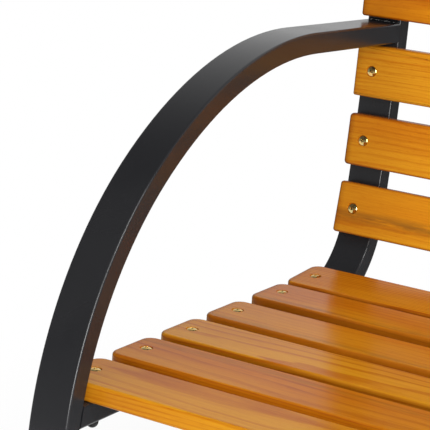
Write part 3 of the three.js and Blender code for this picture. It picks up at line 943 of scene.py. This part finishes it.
def cap_nut():
    """A nut whose flat side is at height zero: a hexagonal collar and a dome under it."""
    mesh = bmesh.new()
    size = {"segments": 6, "radius1": CAP_NUT_RADIUS, "radius2": CAP_NUT_RADIUS}
    bmesh.ops.create_cone(mesh, cap_ends=True, depth=CAP_NUT_COLLAR, **size)
    bmesh.ops.translate(mesh, vec=(0, 0, -CAP_NUT_COLLAR / 2), verts=mesh.verts)
    middle = -CAP_NUT_COLLAR / 2
    lower = [edge for edge in mesh.edges if max(vert.co.z for vert in edge.verts) < middle]
    rounding = {"affect": "EDGES", "profile": 0.5, "material": -1, "segments": CAP_NUT_EDGE_STEPS}
    bmesh.ops.bevel(mesh, geom=lower, offset=CAP_NUT_EDGE, **rounding)
    crown = turned([(0, 0), *dome(CAP_NUT_DOME, -CAP_NUT_DOME, -CAP_NUT_COLLAR + CAP_NUT_EDGE)])
    data = bpy.data.meshes.new("crown")
    crown.to_mesh(data)
    crown.free()
    mesh.from_mesh(data)
    return mesh


zinc = yellow_zinc()
plastic = black_plastic()
bolt_pattern = slat_bolt()
nut_pattern = cap_nut()
for name, (place, seat, along) in bolt_seats.items():
    y, z, heading = seat
    bolt_at = Vector((y + along * cos(heading), z + along * sin(heading)))
    face = seat_back_line.at(place + along)
    hollow = (Vector(face[:2]) - bolt_at).dot(Vector((sin(heading), -cos(heading))))
    lean = face[2] - heading
    depth = hollow + TUBE_DEPTH + CAP_NUT_RADIUS * abs(sin(lean) / cos(lean))
    for side, sign in (("left", -1), ("right", 1)):
        kind, number = name.split("_")
        node = f"{kind}_bolt_{number}_{side}"
        bolt = bolt_pattern.copy()
        tip = [vert for vert in bolt.verts if vert.co.z < HEAD_RIM]
        bmesh.ops.translate(bolt, vec=(0, 0, -depth - CAP_NUT_COLLAR), verts=tip)
        turn = noise.noise(Vector((place * HEAD_TURN_STEP, sign, 0))) * pi
        turning = Matrix.Rotation(turn, 3, "Z")
        for mesh, label, finish, slot, up in (
            (bolt, "bolt", zinc, "yellow_zinc", 0),
            (nut_pattern.copy(), "cap_nut", plastic, "black_plastic", -depth - FIT_GAP),
        ):
            bmesh.ops.rotate(mesh, cent=(0, 0, 0), matrix=turning, verts=mesh.verts)
            laid(mesh, sign * frame_x, seat, along, up)
            piece(mesh, f"{kind}_slat_{number}_{side}_{label}", finish, slot, node)
bolt_pattern.free()
nut_pattern.free()

# Frame bolts
# A round-headed steel bolt with a hexagon socket, coated black, goes through each side frame into
# each end of the three cross tubes.
FRAME_HEAD_RADIUS = 0.008
FRAME_HEAD_HEIGHT = 0.004
FRAME_HEAD_COLLAR = 0.0006
FRAME_SHANK_RADIUS = 0.004
FRAME_BOLT_GRIP = 0.014
SOCKET_RADIUS = 0.0029
SOCKET_DEPTH = 0.0022


def frame_bolt():
    """A bolt that lies along Z, its head above the frame's outer face at height zero."""
    tip = -(TUBE_WIDTH + FRAME_BOLT_GRIP)
    rise = FRAME_HEAD_HEIGHT - FRAME_HEAD_COLLAR
    profile = [
        (0, tip),
        (FRAME_SHANK_RADIUS, tip),
        (FRAME_SHANK_RADIUS, FIT_GAP),
        (FRAME_HEAD_RADIUS, FIT_GAP),
        *dome(FRAME_HEAD_RADIUS, rise, FIT_GAP + FRAME_HEAD_COLLAR),
    ]
    socket = bmesh.new()
    size = {"segments": 6, "radius1": SOCKET_RADIUS, "radius2": SOCKET_RADIUS}
    bmesh.ops.create_cone(socket, cap_ends=True, depth=2 * SOCKET_DEPTH, **size)
    bmesh.ops.translate(socket, vec=(0, 0, FRAME_HEAD_HEIGHT), verts=socket.verts)
    return carved(turned(profile), socket)


frame_bolt_pattern = frame_bolt()
for joint in ("seat_front", "seat_rear", "rear_leg"):
    low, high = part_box(f"cross_tube_{joint}")
    centre = (low + high) / 2
    for side, sign in (("left", -1), ("right", 1)):
        mesh = frame_bolt_pattern.copy()
        matrix = Matrix.Translation((sign * (frame_x + TUBE_WIDTH / 2), centre.y, centre.z))
        matrix = matrix @ Matrix.Rotation(sign * pi / 2, 4, "Y")
        bmesh.ops.transform(mesh, matrix=matrix, verts=mesh.verts)
        node = f"frame_bolt_{joint}_{side}"
        piece(mesh, f"{side}_frame_bolt_{joint}", coat, "powder_coat", node)
frame_bolt_pattern.free()

# End caps
# Moulded plastic plugs close the open tube ends, two on top of the uprights and one at each end of
# a rocker. Only the flange shows, and only the flange is made here.
CAP_FLANGE = 0.0025
CAP_EDGE = 0.0011
CAP_EDGE_STEPS = 3


def end_cap(name, x, at, low, turn):
    """A flange over a tube end, whose place has its heading turned to look along the end."""
    y, z, heading = at
    mesh = bmesh.new()
    bmesh.ops.create_cube(mesh, size=1)
    bmesh.ops.scale(mesh, vec=(TUBE_WIDTH, TUBE_DEPTH, CAP_FLANGE), verts=mesh.verts)
    rounding = {"affect": "EDGES", "profile": 0.5, "material": -1, "offset_type": "OFFSET"}
    upright = [edge for edge in mesh.edges if edge.verts[0].co.z * edge.verts[1].co.z < 0]
    bmesh.ops.bevel(mesh, geom=upright, offset=TUBE_CORNER, segments=CORNER_STEPS, **rounding)
    outer = [edge for edge in mesh.edges if min(vert.co.z for vert in edge.verts) > 0]
    bmesh.ops.bevel(mesh, geom=outer, offset=CAP_EDGE, segments=CAP_EDGE_STEPS, **rounding)
    shift = (0, low + TUBE_DEPTH / 2, FIT_GAP + CAP_FLANGE / 2)
    bmesh.ops.translate(mesh, vec=shift, verts=mesh.verts)
    laid(mesh, x, (y, z, heading + turn))
    piece(mesh, f"{name}_plug", plastic, "black_plastic", name)


for side, sign in (("left", -1), ("right", 1)):
    x = sign * frame_x
    end_cap(f"upright_cap_{side}", x, seat_back_line.tip, 0, -pi / 2)
    end_cap(f"rocker_cap_rear_{side}", x, rocker_line.tip, -TUBE_DEPTH, -pi / 2)
    end_cap(f"rocker_cap_front_{side}", x, rocker_line.at(0), 0, pi / 2)

# Support screws
# A small pan-headed wood screw of yellow zinc plated steel, with a cross recess, goes through the
# middle support into the back of each slat.
SCREW_RADIUS = 0.0036
SCREW_HEIGHT = 0.0022
SCREW_SHANK_RADIUS = 0.002
SCREW_LENGTH = 0.010
SCREW_SLOT = (0.0038, 0.0009)
SCREW_SLOT_DEPTH = 0.0013
screw_pattern = turned(
    [
        (0, -SCREW_LENGTH),
        (SCREW_SHANK_RADIUS, -SCREW_LENGTH),
        (SCREW_SHANK_RADIUS, 0),
        (SCREW_RADIUS, 0),
        *dome(SCREW_RADIUS, SCREW_HEIGHT - HEAD_RIM, HEAD_RIM),
    ]
)
for turn in (0, pi / 2):
    slot = tapered_slot(*SCREW_SLOT, SCREW_SLOT_DEPTH, SCREW_HEIGHT, turn)
    screw_pattern = carved(screw_pattern, slot)
for name, (place, seat, along) in bolt_seats.items():
    mesh = screw_pattern.copy()
    flip = Matrix.Rotation(pi, 4, "X")
    bmesh.ops.transform(mesh, matrix=flip, verts=mesh.verts)
    face = seat_back_line.at(place + along)
    laid(mesh, 0, (*across(face, -SUPPORT_THICKNESS), face[2]))
    piece(mesh, f"support_screw_{name}", zinc, "yellow_zinc")
screw_pattern.free()
